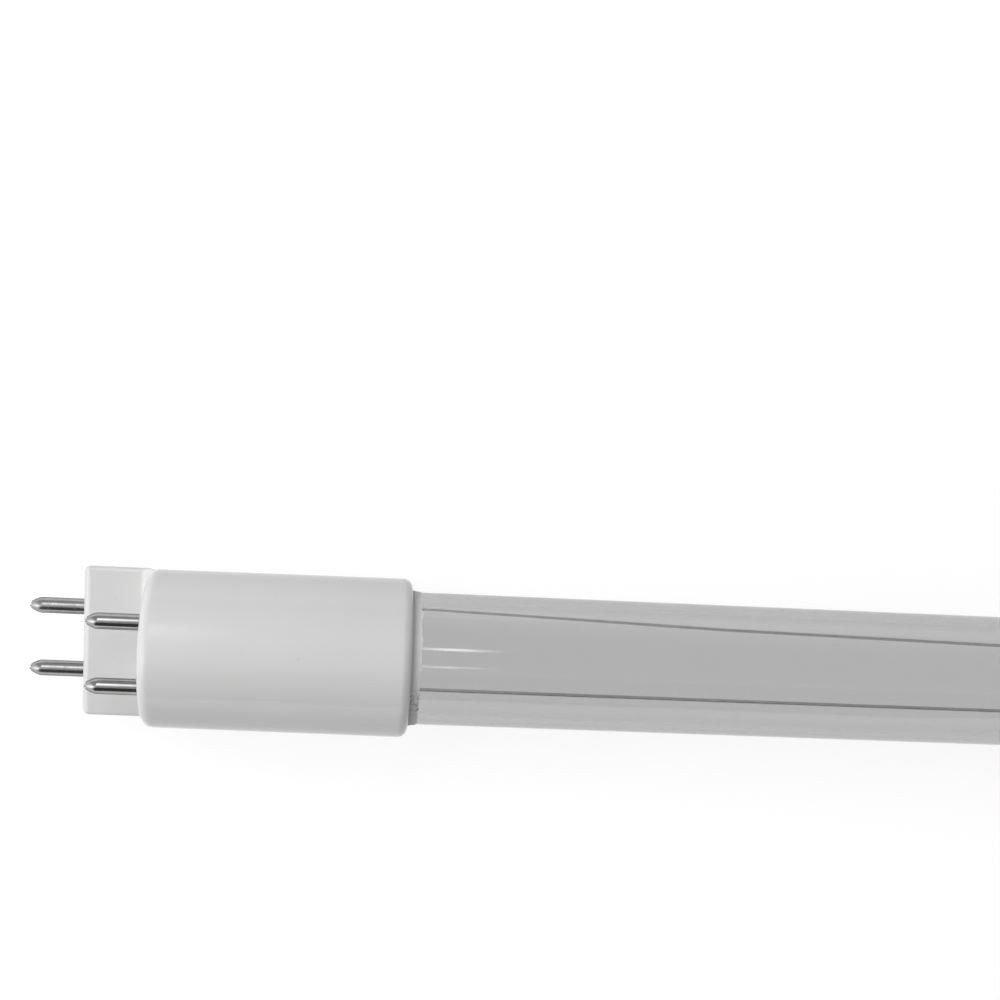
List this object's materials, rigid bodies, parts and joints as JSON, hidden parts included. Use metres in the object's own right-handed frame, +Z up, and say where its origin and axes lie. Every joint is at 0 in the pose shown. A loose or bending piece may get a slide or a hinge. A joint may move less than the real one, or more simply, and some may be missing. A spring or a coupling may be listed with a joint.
{
  "type": "ultraviolet replacement lamp",
  "caption": "Straight germicidal lamp: clear quartz tube between a stepped ceramic pin base and a plain ceramic end cap, with return wires along one side.",
  "frame": {"origin": "on the surface the lamp lies on, raised half down, below the middle of its overall length", "axes": "+X along the lamp from the pins to the blank end, +Z up, from the raised half of the base towards its step"},
  "size_m": [0.2182, 0.018, 0.018],
  "materials": {
    "quartz": "clear polished quartz",
    "ceramic_glaze": "glossy white glaze",
    "pin_nickel": "bright nickel plate",
    "lead_nickel": "drawn nickel wire",
    "molybdenum": "rolled foil",
    "coated_tungsten": "grey-white oxide coating",
    "cement": "rough matt cement"
  },
  "bodies": {
    "root": {"quartz_tube": "quartz", "pin_base": "ceramic_glaze", "end_cap": "ceramic_glaze", "contact_pin_step_left": "pin_nickel", "contact_pin_step_right": "pin_nickel", "contact_pin_raised_left": "pin_nickel", "contact_pin_raised_right": "pin_nickel", "base_lead_left": "lead_nickel", "return_wire_left": "lead_nickel", "cap_lead_left": "lead_nickel", "crimp_sleeve_left": "pin_nickel", "seal_foil_base_left": "molybdenum", "seal_foil_cap_left": "molybdenum", "filament_support_base_left": "lead_nickel", "filament_support_cap_left": "lead_nickel", "base_lead_right": "lead_nickel", "return_wire_right": "lead_nickel", "cap_lead_right": "lead_nickel", "crimp_sleeve_right": "pin_nickel", "seal_foil_base_right": "molybdenum", "seal_foil_cap_right": "molybdenum", "filament_support_base_right": "lead_nickel", "filament_support_cap_right": "lead_nickel", "filament_base": "coated_tungsten", "filament_cap": "coated_tungsten", "cement_base": "cement", "cement_cap": "cement"}
  },
  "joints": []
}
